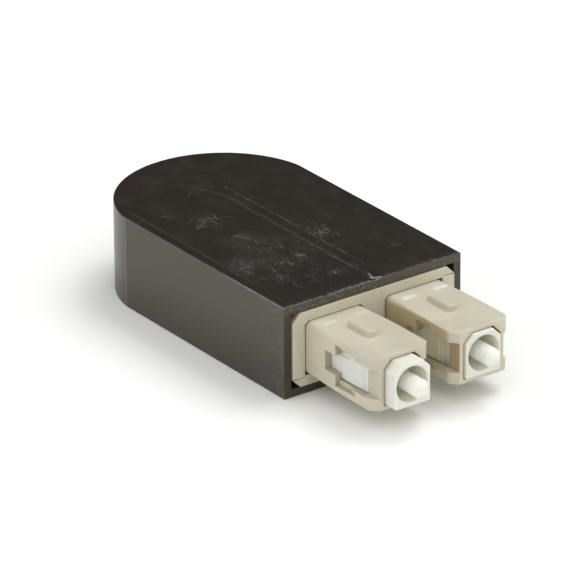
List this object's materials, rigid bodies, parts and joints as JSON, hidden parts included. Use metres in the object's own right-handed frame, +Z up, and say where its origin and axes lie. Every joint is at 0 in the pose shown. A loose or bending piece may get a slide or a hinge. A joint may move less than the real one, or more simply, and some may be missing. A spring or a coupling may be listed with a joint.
{
  "type": "duplex fibre loopback plug",
  "caption": "Moulded D-shaped cap holding a pair of push-pull fibre connector plugs side by side, with an internal fibre that loops one plug back to the other.",
  "frame": {"origin": "middle of the bottom of the whole object's bounding box", "axes": "+Z up from the flat bottom of the shell; -Y the way the two plugs point and mate; +Y towards the round back of the shell; X across the pair, left plug at -X"},
  "size_m": [0.0282, 0.066, 0.0128],
  "materials": {
    "shell": "dark brown-black moulded, satin, lightly scuffed",
    "clip": "beige moulded, satin",
    "sleeve": "beige moulded, satin",
    "plug": "white moulded, satin",
    "ferrule": "white zirconia ceramic, polished",
    "flange": "nickel-plated brass",
    "spring": "drawn stainless wire",
    "guide_tube": "clear extruded tube",
    "stop": "nickel-plated, turned",
    "crimp": "plain drawn sleeve",
    "boot": "beige soft moulded",
    "fibre": "tight-buffered fibre, 0.9 mm"
  },
  "bodies": {
    "housing": {"housing_shell": "shell", "clip_half_upper": "clip", "clip_half_lower": "clip", "grip_sleeve_left": "sleeve", "grip_sleeve_right": "sleeve", "fibre_loop": "fibre"},
    "plug_left": {"plug_frame_left": "plug", "spring_stop_left": "stop", "crimp_ring_left": "crimp", "strain_boot_left": "boot", "ferrule_spring_left": "spring"},
    "plug_right": {"plug_frame_right": "plug", "spring_stop_right": "stop", "crimp_ring_right": "crimp", "strain_boot_right": "boot", "ferrule_spring_right": "spring"},
    "ferrule_left": {"ferrule_left": "ferrule", "ferrule_flange_left": "flange", "guide_tube_left": "guide_tube"},
    "ferrule_right": {"ferrule_right": "ferrule", "ferrule_flange_right": "flange", "guide_tube_right": "guide_tube"}
  },
  "joints": [
    {"name": "plug_left_float", "type": "slide", "parent": "housing", "child": "plug_left", "axis": [0, -1, 0], "range_m": [-0.0017, 0]},
    {"name": "plug_right_float", "type": "slide", "parent": "housing", "child": "plug_right", "axis": [0, -1, 0], "range_m": [0, 0.0017]},
    {"name": "ferrule_left_retract", "type": "slide", "parent": "plug_left", "child": "ferrule_left", "axis": [0, 1, 0], "range_m": [0, 0.0012], "stiffness_N_per_m": 600, "deforming": ["ferrule_spring_left"]},
    {"name": "ferrule_right_retract", "type": "slide", "parent": "plug_right", "child": "ferrule_right", "axis": [0, 1, 0], "range_m": [0, 0.0012], "stiffness_N_per_m": 600, "deforming": ["ferrule_spring_right"]}
  ]
}
